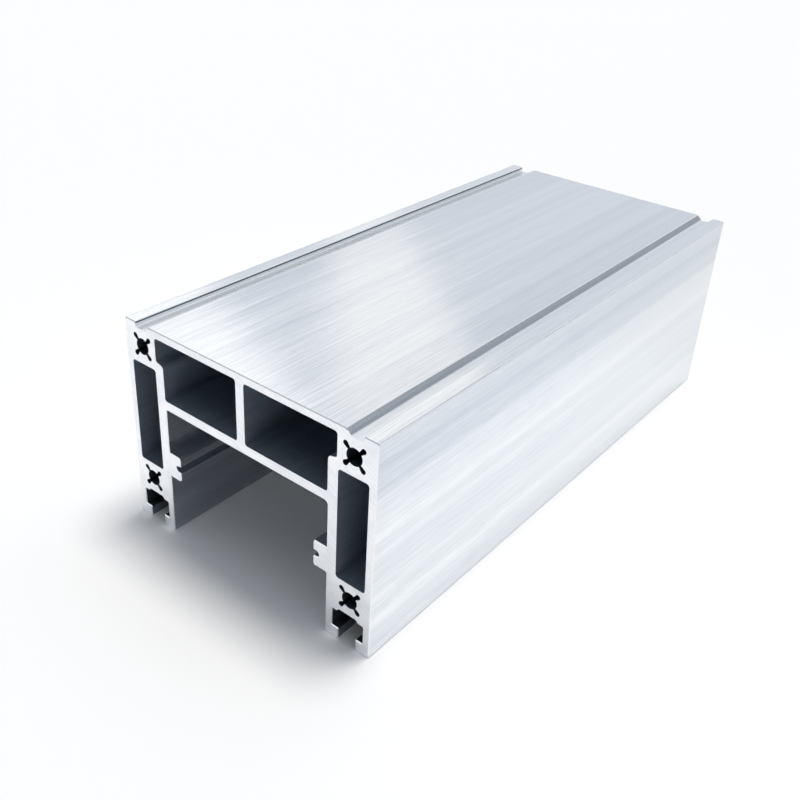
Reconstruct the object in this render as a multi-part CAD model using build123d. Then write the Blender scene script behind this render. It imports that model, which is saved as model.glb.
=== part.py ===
from build123d import *
from math import radians, tan
import os

# Aluminium extrusion profile: a deep beam section with a closed deck over an open channel.
# It is pressed through a die in one piece and sawn square, so it is one solid from end to end.
# It stands on its two legs. X runs across the section, Y along the extrusion and Z up, in mm.
# The origin is on the ground, under the middle of the length.

# Whole profile
profile_width = 100.0
profile_height = 73.0
profile_length = 217.0
edge_radius = 0.5
end_chamfer = 0.25

# Legs, and the channel between them, which is open at the bottom
leg_width = 16.7
channel_height = 46.8
channel_corner_radius = 1.2

# Walls of the deck and of the legs
plate_thickness = 2.4
floor_thickness = 3.3
centre_web_thickness = 3.2
outer_wall = 2.4
inner_wall = 3.6
cavity_corner_radius = 1.0

# The pair of upper chambers widens near the plate, over a sloping ledge
pocket_depth = 3.1
pocket_height = 8.0
ledge_fall = 0.7
ledge_nose_radius = 1.4

# Side chamber in each leg
side_chamber_base = 22.7
corner_block_height = 13.6

# Screw ports, one above and one below each side chamber
port_diameter = 5.5
port_arm_root = 1.05
port_arm_tip = 1.7
port_arm_span = 10.3
upper_port_depth = 7.5
lower_port_height = 17.0

# T-slot in each foot
slot_mouth = 6.5
slot_lip = 4.0
slot_width = 11.5
slot_height = 6.3
crown_width = 6.0
crown_rise = 0.9
crown_flank = 0.9
slot_corner_radius = 0.4

# Hook strip on the inner face of each leg, with a round-bottomed notch in its tip
hook_base = 22.0
hook_height = 9.0
hook_reach = 5.0
hook_tip_radius = 0.8
notch_width = 2.1
notch_depth = 2.1
notch_lip_radius = 0.3
root_radius = 0.4

# Groove along each top edge, between the plate and the side lip
lip_thickness = 4.8
groove_width = 6.2
groove_depth = 1.9
groove_slope_run = 2.0
groove_radius = 0.6
lip_edge_radius = 0.3

# Places that follow from the sizes above
half_width = profile_width / 2
leg_face = half_width - leg_width
leg_middle = half_width - leg_width / 2
slot_ceiling = slot_lip + slot_height
chamber_floor = channel_height + floor_thickness
chamber_ceiling = profile_height - plate_thickness
side_chamber_inner = leg_face + inner_wall
side_chamber_outer = half_width - outer_wall
side_chamber_top = profile_height - corner_block_height
port_offset = (side_chamber_inner + side_chamber_outer) / 2
port_levels = (lower_port_height, profile_height - upper_port_depth)


def mirrored(corners):
    """The same run of corners on the other side of the middle plane, still in order round the outline."""
    return [(-x, z, radius) for x, z, radius in reversed(corners)]


def limited_radius(before, corner, after, radius):
    """The wanted radius, or the largest whose arc stays within half of each side that meets the corner."""
    side_in = Vector(corner) - Vector(before)
    side_out = Vector(after) - Vector(corner)
    half_turn = radians(side_in.get_angle(side_out) / 2)
    room = 0.49 * min(side_in.length, side_out.length)
    return min(radius, room / tan(half_turn))


def rounded_face(corners):
    """A closed face through corners given as x, z and the radius that rounds each of them."""
    points = [(x, z) for x, z, _ in corners]
    radii = []
    for i, (_, _, radius) in enumerate(corners):
        following = points[(i + 1) % len(points)]
        radii.append(limited_radius(points[i - 1], points[i], following, radius))
    return make_face(FilletPolyline(*points, radius=radii, close=True))


def top_edge():
    """Right edge of the plate, down the sloping side of the groove and up over the side lip."""
    lip_inner = half_width - lip_thickness
    slope_top = lip_inner - groove_width
    groove_floor = profile_height - groove_depth
    return [
        (slope_top, profile_height, groove_radius),
        (slope_top + groove_slope_run, groove_floor, groove_radius),
        (lip_inner, groove_floor, root_radius),
        (lip_inner, profile_height, lip_edge_radius),
        (half_width, profile_height, edge_radius),
    ]


def foot():
    """Right foot with its T-slot, from the outer face to the inner face of the leg."""
    half_mouth = slot_mouth / 2
    half_slot = slot_width / 2
    half_crown = crown_width / 2
    right_half = [
        (half_mouth, 0, lip_edge_radius),
        (half_mouth, slot_lip, lip_edge_radius),
        (half_slot, slot_lip, slot_corner_radius),
        (half_slot, slot_ceiling, slot_corner_radius),
        (half_crown + crown_flank, slot_ceiling, lip_edge_radius),
        (half_crown, slot_ceiling + crown_rise, lip_edge_radius),
    ]
    slot = [(leg_middle + x, z, radius) for x, z, radius in right_half + mirrored(right_half)]
    return [(half_width, 0, edge_radius), *slot, (leg_face, 0, edge_radius)]


def hook():
    """Hook strip on the inner face of the right leg, from its underside to its top."""
    tip = leg_face - hook_reach
    notch_bottom = hook_base + (hook_height - notch_width) / 2
    notch_top = notch_bottom + notch_width
    hook_top = hook_base + hook_height
    return [
        (leg_face, hook_base, root_radius),
        (tip, hook_base, hook_tip_radius),
        (tip, notch_bottom, notch_lip_radius),
        (tip + notch_depth, notch_bottom, notch_width / 2),
        (tip + notch_depth, notch_top, notch_width / 2),
        (tip, notch_top, notch_lip_radius),
        (tip, hook_top, hook_tip_radius),
        (leg_face, hook_top, root_radius),
    ]


def outline():
    """The whole outer boundary: top edges, feet, hooks and the ceiling of the channel."""
    ceiling_corner = (leg_face, channel_height, channel_corner_radius)
    right_half = [*top_edge(), *foot(), *hook(), ceiling_corner]
    return rounded_face(right_half + mirrored(right_half))


def upper_chamber():
    """Right upper chamber, from the centre web to the ledge and pocket beside the screw port."""
    web_face = centre_web_thickness / 2
    pocket_side = leg_face + pocket_depth
    ledge = chamber_ceiling - pocket_height
    return rounded_face([
        (web_face, chamber_floor, cavity_corner_radius),
        (leg_face, chamber_floor, cavity_corner_radius),
        (leg_face, ledge - ledge_fall, ledge_nose_radius),
        (pocket_side, ledge, cavity_corner_radius),
        (pocket_side, chamber_ceiling, cavity_corner_radius),
        (web_face, chamber_ceiling, cavity_corner_radius),
    ])


def side_chamber():
    """Tall closed chamber inside the right leg."""
    return rounded_face([
        (side_chamber_inner, side_chamber_base, cavity_corner_radius),
        (side_chamber_outer, side_chamber_base, cavity_corner_radius),
        (side_chamber_outer, side_chamber_top, cavity_corner_radius),
        (side_chamber_inner, side_chamber_top, cavity_corner_radius),
    ])


def screw_port():
    """Round core for a thread-forming screw, with four diagonal arms that widen to round ends."""
    root = Pos(port_diameter / 2, 0) * Circle(port_arm_root / 2)
    tip = Pos((port_arm_span - port_arm_tip) / 2, 0) * Circle(port_arm_tip / 2)
    arm = make_hull(root.edges() + tip.edges())
    return Circle(port_diameter / 2) + [Rot(0, 0, angle) * arm for angle in (45, 135, 225, 315)]


def right_cavities():
    """Every closed cavity of the right half of the section."""
    ports = [Pos(port_offset, level) * screw_port() for level in port_levels]
    return [upper_chamber(), side_chamber(), *ports]


def profile_section():
    """The cross-section: the outline less the cavities of both halves."""
    section = outline()
    for cavity in right_cavities():
        section -= cavity
        section -= mirror(cavity, about=Plane.YZ)
    return section


def cut_length():
    """The section drawn out to its length, with the outer edges of both sawn ends deburred."""
    bar = extrude(Plane.XZ * profile_section(), amount=profile_length / 2, both=True)
    sawn_ends = bar.faces().filter_by(Axis.Y)
    rims = [edge for end in sawn_ends for edge in end.outer_wire().edges()]
    return chamfer(rims, end_chamfer)


extruded_profile = cut_length()
extruded_profile.label = "extruded_profile"

os.makedirs("parts", exist_ok=True)
export_step(extruded_profile, "parts/extruded_profile.step")
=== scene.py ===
import math
import bpy
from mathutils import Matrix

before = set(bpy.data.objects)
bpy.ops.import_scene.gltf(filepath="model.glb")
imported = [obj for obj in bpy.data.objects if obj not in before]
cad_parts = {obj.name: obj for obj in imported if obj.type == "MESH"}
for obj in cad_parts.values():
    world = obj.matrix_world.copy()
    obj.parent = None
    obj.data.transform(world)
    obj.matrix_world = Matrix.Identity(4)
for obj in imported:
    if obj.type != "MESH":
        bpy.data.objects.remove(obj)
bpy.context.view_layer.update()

# The profile: one length of aluminium, pushed hot through a die and sawn square at both ends.
# It is a single piece, so the imported solid is what shows, and only its finish is made here: die lines
# along the outside, duller walls inside with painted shade, painted shade on the sides, saw marks on the
# ends and a dressed edge with painted shade along its top.


def linear(hex_colour):
    """The linear RGBA of an sRGB hex colour."""
    channels = [int(hex_colour[i:i + 2], 16) / 255 for i in (1, 3, 5)]
    return [c / 12.92 if c <= 0.04045 else ((c + 0.055) / 1.055) ** 2.4 for c in channels] + [1.0]


def add(tree, kind, output, inputs, **settings):
    """Adds a node with its settings, sets or links its inputs, and returns the output that is used."""
    node = tree.nodes.new(kind)
    for name, value in settings.items():
        setattr(node, name, value)
    for socket, value in inputs.items():
        if isinstance(value, bpy.types.NodeSocket):
            tree.links.new(value, node.inputs[socket])
        else:
            node.inputs[socket].default_value = value
    return node.outputs[output]


def new_material(name):
    """An empty node material, with a shader that is joined to its output."""
    material = bpy.data.materials.new(name)
    material.use_nodes = True
    tree = material.node_tree
    tree.nodes.clear()
    shader = tree.nodes.new("ShaderNodeBsdfPrincipled")
    output = tree.nodes.new("ShaderNodeOutputMaterial")
    tree.links.new(shader.outputs["BSDF"], output.inputs["Surface"])
    return material, tree, shader


# Mill-finish aluminium, as the die leaves it: a cool pale metal, streaked along its length, that gives
# back a soft reflection drawn out the same way
profile_metal, metal, shader = new_material("mill_finish_aluminium")

# Places in mm, on the whole profile and on its right half
MM = 1000.0
place = add(metal, "ShaderNodeTexCoord", "Object", {})
place = add(metal, "ShaderNodeVectorMath", "Vector", {0: place, "Scale": MM}, operation="SCALE")
half_place = add(metal, "ShaderNodeVectorMath", "Vector", {0: place}, operation="ABSOLUTE")
across_place = add(metal, "ShaderNodeSeparateXYZ", "X", {"Vector": place})
along_place = add(metal, "ShaderNodeSeparateXYZ", "Y", {"Vector": place})
height = add(metal, "ShaderNodeSeparateXYZ", "Z", {"Vector": place})

# Which way a surface faces: each mask rises from 0 to 1 between these two shares of facing square on.
# A dressed edge is cut too, but it leans.
SIDE_ON = (0.7, 0.8)
CUT = (0.29, 0.30)
SAWN = (0.89, 0.90)
facing = add(metal, "ShaderNodeTexCoord", "Normal", {})
turned = add(metal, "ShaderNodeVectorMath", "Vector", {0: facing}, operation="ABSOLUTE")
side_on = add(metal, "ShaderNodeSeparateXYZ", "X", {"Vector": turned})
side_on = add(metal, "ShaderNodeMapRange", "Result",
              {"Value": side_on, "From Min": SIDE_ON[0], "From Max": SIDE_ON[1]})
end_on = add(metal, "ShaderNodeSeparateXYZ", "Y", {"Vector": turned})
cut = add(metal, "ShaderNodeMapRange", "Result", {"Value": end_on, "From Min": CUT[0], "From Max": CUT[1]})
drawn = add(metal, "ShaderNodeMath", "Value", {0: 1.0, 1: cut}, operation="SUBTRACT")
sawn = add(metal, "ShaderNodeMapRange", "Result",
           {"Value": end_on, "From Min": SAWN[0], "From Max": SAWN[1]})

# Nearly all of a noise lies between these two values
NOISE_SPREAD = (0.3, 0.7)


def drawn_streaks(width, length, detail, roughness, shift):
    """Streaks along the profile, from -1 to 1. Width and length are in mm, and each pattern has a shift
    of its own, so that no two of them match."""
    stretched = add(metal, "ShaderNodeVectorMath", "Vector",
                    {0: place, 1: (1 / width, 1 / length, 1 / width), 2: (shift, 0, 0)},
                    operation="MULTIPLY_ADD")
    noise = add(metal, "ShaderNodeTexNoise", "Fac",
                {"Vector": stretched, "Scale": 1.0, "Detail": detail, "Roughness": roughness})
    return add(metal, "ShaderNodeMapRange", "Result",
               {"Value": noise, "From Min": NOISE_SPREAD[0], "From Max": NOISE_SPREAD[1],
                "To Min": -1.0, "To Max": 1.0})


# The edge of a box fades out over this distance, in mm
BOX_BLEND = 0.01


def walls_within(low_x, high_x, low_z, high_z):
    """1 on the drawn walls that lie in a box of both halves of the section, in mm, and 0 elsewhere."""
    centre = ((low_x + high_x) / 2, 0, (low_z + high_z) / 2)
    half = ((high_x - low_x) / 2, 0, (high_z - low_z) / 2)
    offset = add(metal, "ShaderNodeVectorMath", "Vector", {0: half_place, 1: centre}, operation="SUBTRACT")
    offset = add(metal, "ShaderNodeVectorMath", "Vector", {0: offset}, operation="ABSOLUTE")
    beyond = add(metal, "ShaderNodeVectorMath", "Vector", {0: offset, 1: half}, operation="SUBTRACT")
    beyond = add(metal, "ShaderNodeVectorMath", "Vector", {0: beyond, 1: (0, 0, 0)}, operation="MAXIMUM")
    distance = add(metal, "ShaderNodeVectorMath", "Value", {0: beyond, 1: (1, 0, 1)},
                   operation="DOT_PRODUCT")
    inside = add(metal, "ShaderNodeMapRange", "Result",
                 {"Value": distance, "From Min": 0.0, "From Max": BOX_BLEND, "To Min": 1.0, "To Max": 0.0})
    return add(metal, "ShaderNodeMath", "Value", {0: inside, 1: drawn}, operation="MULTIPLY")


# Boxes round the walls of each hollow and groove, in mm: from and to across, then from and to in height
LOWER_PORT = (38.0, 46.6, 12.6, 21.3)
UPPER_PORT = (38.0, 46.6, 61.2, 69.8)
T_SLOT = (35.4, 47.9, 3.5, 11.7)
T_SLOT_MOUTH = (38.1, 45.2, 0.3, 4.0)
UPPER_CHAMBER = (-1.0, 37.5, 49.0, 71.4)
SIDE_CHAMBER = (36.3, 48.4, 21.9, 60.2)
OPEN_CHANNEL = (-1.0, 33.6, -1.0, 47.2)
LIP_INNER_FACE = (44.9, 45.3, 72.2, 72.75)
GROOVE_FLOOR = (40.0, 45.4, 71.0, 71.4)

narrow = 0.0
for box in (LOWER_PORT, UPPER_PORT, T_SLOT):
    narrow = add(metal, "ShaderNodeMath", "Value", {0: walls_within(*box), 1: narrow}, operation="MAXIMUM")
hollow = narrow
for box in (T_SLOT_MOUTH, UPPER_CHAMBER, SIDE_CHAMBER):
    hollow = add(metal, "ShaderNodeMath", "Value", {0: walls_within(*box), 1: hollow}, operation="MAXIMUM")
channel = walls_within(*OPEN_CHANNEL)
lip_shade_mask = walls_within(*LIP_INNER_FACE)
groove = walls_within(*GROOVE_FLOOR)

# Outside: broad soft bands and steps of the die's bearing, finer streaks, and short scratches.
# Real die lines and scratches are too fine to show, so they are drawn as coarse as they need to be.
STEP_WIDTH = 9.0
bands = drawn_streaks(width=8.0, length=700.0, detail=1.0, roughness=0.5, shift=3.0)
steps = add(metal, "ShaderNodeMath", "Value", {0: across_place, 1: height}, operation="ADD")
steps = add(metal, "ShaderNodeTexVoronoi", "Color", {"W": steps, "Scale": 1 / STEP_WIDTH},
            voronoi_dimensions="1D")
steps = add(metal, "ShaderNodeSeparateColor", "Red", {"Color": steps})
steps = add(metal, "ShaderNodeMapRange", "Result",
            {"Value": steps, "From Min": 0.0, "From Max": 1.0, "To Min": -1.0, "To Max": 1.0})
streaks = drawn_streaks(width=1.6, length=200.0, detail=3.0, roughness=0.6, shift=11.0)
lines = drawn_streaks(width=0.3, length=90.0, detail=1.0, roughness=0.5, shift=47.0)
scratches = drawn_streaks(width=0.45, length=16.0, detail=3.0, roughness=0.65, shift=29.0)

fine_marks = 0.0
for mark, weight in ((streaks, 0.16), (lines, 0.06), (scratches, 0.28)):
    fine_marks = add(metal, "ShaderNodeMath", "Value", {0: mark, 1: weight, 2: fine_marks},
                     operation="MULTIPLY_ADD")

# The fine marks thin out from the handled end. The tone goes from 0, dark, to 1, pale.
HANDLED_UP_TO, CLEAN_FROM = -95.0, 70.0
MARKS_LEFT = 0.25
handled = add(metal, "ShaderNodeMapRange", "Result",
              {"Value": along_place, "From Min": HANDLED_UP_TO, "From Max": CLEAN_FROM,
               "To Min": 1.0, "To Max": MARKS_LEFT})
tone = 0.5
for mark, weight in ((bands, 0.18), (steps, 0.15), (fine_marks, handled)):
    tone = add(metal, "ShaderNodeMath", "Value", {0: mark, 1: weight, 2: tone}, operation="MULTIPLY_ADD")
outside = add(metal, "ShaderNodeMix", "Result",
              {"Factor": tone, "A": linear("#D3D8DF"), "B": linear("#F6F8F9")}, data_type="RGBA")

# Painted shade: the sides are painted a shade darker than the top, most of all over the solid corner and
# at the foot, which are given as heights in mm
CORNER_BLOCK = (54.5, 58.0)
FOOT = (2.0, 11.0)
block = add(metal, "ShaderNodeMapRange", "Result",
            {"Value": height, "From Min": CORNER_BLOCK[0], "From Max": CORNER_BLOCK[1]},
            interpolation_type="SMOOTHSTEP")
foot = add(metal, "ShaderNodeMapRange", "Result",
           {"Value": height, "From Min": FOOT[0], "From Max": FOOT[1], "To Min": 1.0, "To Max": 0.0},
           interpolation_type="SMOOTHSTEP")
# Each band multiplies its painted shade into the colour of the sides
for band, shade in ((1.0, "#F9FAFB"), (block, "#F0F2F5"), (foot, "#FAFBFC")):
    band = add(metal, "ShaderNodeMath", "Value", {0: band, 1: side_on}, operation="MULTIPLY")
    outside = add(metal, "ShaderNodeMix", "Result", {"Factor": band, "A": outside, "B": linear(shade)},
                  data_type="RGBA", blend_type="MULTIPLY")

# Ends: paler sawn metal, with the arcs of a large blade, drawn coarser than they are, and a soft smear.
# The two add up to a value near 1, and its spread goes from the darker tone to the paler one.
BLADE_CENTRE = (-120.0, 0.0, -190.0)
SAW_MARK_WIDTH = 0.625
SMEAR_WIDTH = 6.25
SAWN_SPREAD = (0.8, 1.2)
from_blade = add(metal, "ShaderNodeVectorMath", "Vector", {0: place, 1: BLADE_CENTRE}, operation="SUBTRACT")
from_blade = add(metal, "ShaderNodeVectorMath", "Vector", {0: from_blade, 1: (1, 0, 1)},
                 operation="MULTIPLY")
radius = add(metal, "ShaderNodeVectorMath", "Value", {0: from_blade}, operation="LENGTH")
saw_marks = add(metal, "ShaderNodeTexNoise", "Fac",
                {"W": radius, "Scale": 1 / SAW_MARK_WIDTH, "Detail": 3.0, "Roughness": 0.7},
                noise_dimensions="1D")
smear = add(metal, "ShaderNodeTexNoise", "Fac",
            {"Vector": place, "Scale": 1 / SMEAR_WIDTH, "Detail": 3.0})
sawn_tone = add(metal, "ShaderNodeMath", "Value", {0: saw_marks, 1: smear}, operation="ADD")
sawn_tone = add(metal, "ShaderNodeMapRange", "Result",
                {"Value": sawn_tone, "From Min": SAWN_SPREAD[0], "From Max": SAWN_SPREAD[1]})
sawn_colour = add(metal, "ShaderNodeMix", "Result",
                  {"Factor": sawn_tone, "A": linear("#ECEFF4"), "B": linear("#FBFCFE")}, data_type="RGBA")

# The dressed edges are bright, with painted shade that turns them grey along the top, where they lean up
DECK_EDGE = 72.4
EDGE_BLEND = 0.1
painted_top_edge_shade = add(metal, "ShaderNodeMapRange", "Result",
                {"Value": height, "From Min": DECK_EDGE - EDGE_BLEND, "From Max": DECK_EDGE + EDGE_BLEND})
edge_colour = add(metal, "ShaderNodeMix", "Result",
                  {"Factor": painted_top_edge_shade, "A": linear("#EEF0F3"), "B": linear("#B0B5BC")}, data_type="RGBA")

# Inside: dull walls with painted shade, darkest in the screw ports and T-slots,
# and a line of painted shade under the edge of each lip
hollow_painted_shade = add(metal, "ShaderNodeMix", "Result",
                    {"Factor": tone, "A": linear("#77828F"), "B": linear("#8D98A5")}, data_type="RGBA")
channel_painted_shade = add(metal, "ShaderNodeMix", "Result",
                     {"Factor": tone, "A": linear("#A5ABB3"), "B": linear("#C2C8D0")}, data_type="RGBA")
narrow_painted_shade = linear("#3F474F")
lip_painted_shade = linear("#5F676F")
# The painted shade of the inside and of the lip line is laid over the outside colour here, then the edges
# and the ends
colour = outside
for where, what in ((lip_shade_mask, lip_painted_shade), (channel, channel_painted_shade), (hollow, hollow_painted_shade),
                    (narrow, narrow_painted_shade), (cut, edge_colour), (sawn, sawn_colour)):
    colour = add(metal, "ShaderNodeMix", "Result", {"Factor": where, "A": colour, "B": what},
                 data_type="RGBA")
metal.links.new(colour, shader.inputs["Base Color"])

# Inside, part of the metal is taken away, so that the walls there also take light as a matt surface
metallic = 1.0
for where, share in ((hollow, -0.7), (channel, -0.25)):
    metallic = add(metal, "ShaderNodeMath", "Value", {0: where, 1: share, 2: metallic},
                   operation="MULTIPLY_ADD")
metal.links.new(metallic, shader.inputs["Metallic"])

# Gloss: smoother along the draw than across it, and duller in the grooves, on the ends and inside
BRIGHT_STREAK, DULL_STREAK = 0.11, 0.17
DRAWN_STRETCH = 0.4
roughness = add(metal, "ShaderNodeMapRange", "Result",
                {"Value": streaks, "From Min": -1.0, "From Max": 1.0,
                 "To Min": BRIGHT_STREAK, "To Max": DULL_STREAK})
for where, more in ((groove, 0.15), (sawn, 0.3), (hollow, 0.3)):
    roughness = add(metal, "ShaderNodeMath", "Value", {0: where, 1: more, 2: roughness},
                    operation="MULTIPLY_ADD")
metal.links.new(roughness, shader.inputs["Roughness"])
stretch = add(metal, "ShaderNodeMapRange", "Result",
              {"Value": sawn, "To Min": DRAWN_STRETCH, "To Max": 0.0})
metal.links.new(stretch, shader.inputs["Anisotropic"])
across = add(metal, "ShaderNodeVectorMath", "Vector", {0: facing, 1: (0, 1, 0)}, operation="CROSS_PRODUCT")
across = add(metal, "ShaderNodeVectorMath", "Vector", {0: sawn, 1: (1, 0, 0), 2: across},
             operation="MULTIPLY_ADD")
across = add(metal, "ShaderNodeVectorTransform", "Vector", {"Vector": across}, vector_type="VECTOR",
             convert_from="OBJECT", convert_to="WORLD")
metal.links.new(across, shader.inputs["Tangent"])

# Relief in mm: streaks, lines and scratches along the draw, and saw marks on the ends
SAW_MARK_DEPTH = 0.01
drawn_relief = 0.0
for mark, depth in ((streaks, 0.012), (lines, 0.0015), (scratches, 0.0015)):
    drawn_relief = add(metal, "ShaderNodeMath", "Value", {0: mark, 1: depth, 2: drawn_relief},
                       operation="MULTIPLY_ADD")
sawn_relief = add(metal, "ShaderNodeMath", "Value", {0: saw_marks, 1: SAW_MARK_DEPTH}, operation="MULTIPLY")
relief = add(metal, "ShaderNodeMix", "Result", {"Factor": sawn, "A": drawn_relief, "B": sawn_relief},
             data_type="FLOAT")
bump = add(metal, "ShaderNodeBump", "Normal", {"Height": relief, "Strength": 1.0, "Distance": 1 / MM})
metal.links.new(bump, shader.inputs["Normal"])

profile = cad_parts["extruded_profile"]
for slot in profile.material_slots:
    slot.material = profile_metal

# The floor: a plain pale sweep of matt paper, which takes the profile's soft shadow.
# What the eye and the metal see of it is lifted a little, so that it reads as white.


def add_sheet(name, corners, material):
    """A flat four-cornered sheet that isn't part of the profile."""
    mesh = bpy.data.meshes.new(name)
    mesh.from_pydata(corners, [], [(0, 1, 2, 3)])
    mesh.materials.append(material)
    sheet = bpy.data.objects.new(name, mesh)
    bpy.context.collection.objects.link(sheet)
    return sheet


def seen_directly(tree):
    """1 for what the camera, the metal or a clear piece sees, and 0 for light on its way."""
    path = tree.nodes.new("ShaderNodeLightPath")
    seen = path.outputs["Is Camera Ray"]
    for ray in ("Is Glossy Ray", "Is Transmission Ray"):
        seen = add(tree, "ShaderNodeMath", "Value", {0: seen, 1: path.outputs[ray]}, operation="MAXIMUM")
    return seen


FLOOR_REACH = 6.0
FLOOR_LIFT = 0.03
paper, paper_tree, paper_shader = new_material("matt_white_paper")
paper_shader.inputs["Base Color"].default_value = linear("#FBFBFB")
paper_shader.inputs["Roughness"].default_value = 0.9
paper_shader.inputs["Specular IOR Level"].default_value = 0.1
paper_shader.inputs["Emission Color"].default_value = linear("#FFFFFF")
lift = add(paper_tree, "ShaderNodeMath", "Value", {0: seen_directly(paper_tree), 1: FLOOR_LIFT},
           operation="MULTIPLY")
paper_tree.links.new(lift, paper_shader.inputs["Emission Strength"])
add_sheet("floor", [(-FLOOR_REACH, -FLOOR_REACH, 0), (FLOOR_REACH, -FLOOR_REACH, 0),
                    (FLOOR_REACH, FLOOR_REACH, 0), (-FLOOR_REACH, FLOOR_REACH, 0)], paper)

# The room: white all round for the eye and the metal, with a cool overcast light from overhead.
# Behind the profile, two grey walls and two white windows are there for its metal alone to reflect.
OVERHEAD = (0.05, 0.17, 0.98)
# The overcast brightens from this cosine of the angle to overhead
OVERCAST_FROM = 0.65
LOW_LIGHT, OVERHEAD_LIGHT = 0.02, 1.72
world = bpy.data.worlds.new("white_room")
bpy.context.scene.world = world
world.use_nodes = True
room = world.node_tree
room.nodes.clear()
seen = seen_directly(room)
towards = add(room, "ShaderNodeTexCoord", "Generated", {})
towards = add(room, "ShaderNodeVectorMath", "Value", {0: towards, 1: OVERHEAD}, operation="DOT_PRODUCT")
overcast = add(room, "ShaderNodeMapRange", "Result",
               {"Value": towards, "From Min": OVERCAST_FROM, "From Max": 1.0,
                "To Min": LOW_LIGHT, "To Max": OVERHEAD_LIGHT})
strength = add(room, "ShaderNodeMix", "Result", {"Factor": seen, "A": overcast, "B": 1.0},
               data_type="FLOAT")
sky_colour = add(room, "ShaderNodeMix", "Result",
                 {"Factor": seen, "A": linear("#EAF1FC"), "B": linear("#FFFFFF")}, data_type="RGBA")
background = add(room, "ShaderNodeBackground", "Background", {"Color": sky_colour, "Strength": strength})
room_output = room.nodes.new("ShaderNodeOutputWorld")
room.links.new(background, room_output.inputs["Surface"])


def add_card(name, distance, corners, colour, strength):
    """A lit card that only the metal sees, at a distance in metres. Each corner is a direction from the
    profile in degrees: round from its far end towards the right, and up."""
    places = []
    for azimuth, rise in corners:
        turn, rise = math.radians(azimuth), math.radians(rise)
        level = distance * math.cos(rise)
        places.append((level * math.sin(turn), level * math.cos(turn), distance * math.sin(rise)))
    paint, _, paint_shader = new_material(name)
    paint_shader.inputs["Base Color"].default_value = linear("#000000")
    paint_shader.inputs["Specular IOR Level"].default_value = 0.0
    paint_shader.inputs["Emission Color"].default_value = linear(colour)
    paint_shader.inputs["Emission Strength"].default_value = strength
    card = add_sheet(name, places, paint)
    card.visible_camera = False
    card.visible_diffuse = False
    card.visible_shadow = False


# The windows stand in front of the walls
WALL_DISTANCE = 20.0
add_card("pale_grey_wall", WALL_DISTANCE, corners=[(-84, 0), (-12, 0), (-12, 52), (-84, 52)],
         colour="#E1E5EC", strength=1.0)
add_card("dark_grey_wall", WALL_DISTANCE, corners=[(12, 15), (25, 14), (54, 36), (33, 43)],
         colour="#A3A9B1", strength=1.0)
add_card("left_window", distance=15.0, corners=[(-85, 22), (-52.8, 22), (-34.8, 40), (-85, 40)],
         colour="#FFFFFF", strength=1.18)
add_card("slanted_window", distance=14.0, corners=[(-42, 20), (-38.3, 20), (-21, 40), (-42, 40)],
         colour="#FFFFFF", strength=1.02)

# The key light: a broad soft sun from overhead, a little behind and to the right. It gives the shadow
# in front and to the left, and the metal doesn't see it.
sun = bpy.data.lights.new("soft_key", "SUN")
sun.energy = 1.76
sun.color = (1.0, 0.957, 0.89)
sun.angle = math.radians(19)
key = bpy.data.objects.new("soft_key", sun)
bpy.context.collection.objects.link(key)
key.rotation_euler = (math.radians(-12.5), 0, math.radians(-20))
key.visible_glossy = False

# The camera: the photograph's view, from the front right and above. Its place, lens and shift were
# worked out from the corners of the profile, on a square frame.
FOCAL_PIXELS = 958.1
FRAME_PIXELS = 800
SENSOR_WIDTH = 36.0
view = bpy.data.cameras.new("camera")
view.sensor_width = SENSOR_WIDTH
view.lens = FOCAL_PIXELS / FRAME_PIXELS * SENSOR_WIDTH
view.shift_x = 0.02
view.shift_y = -0.0525
view.clip_start, view.clip_end = 0.01, 50.0
camera = bpy.data.objects.new("camera", view)
bpy.context.collection.objects.link(camera)
camera.location = (0.17045, -0.26239, 0.20571)
camera.rotation_euler = [math.radians(angle) for angle in (60.96, -2.557, 39.44)]
bpy.context.scene.camera = camera
bpy.context.scene.view_settings.view_transform = "Standard"
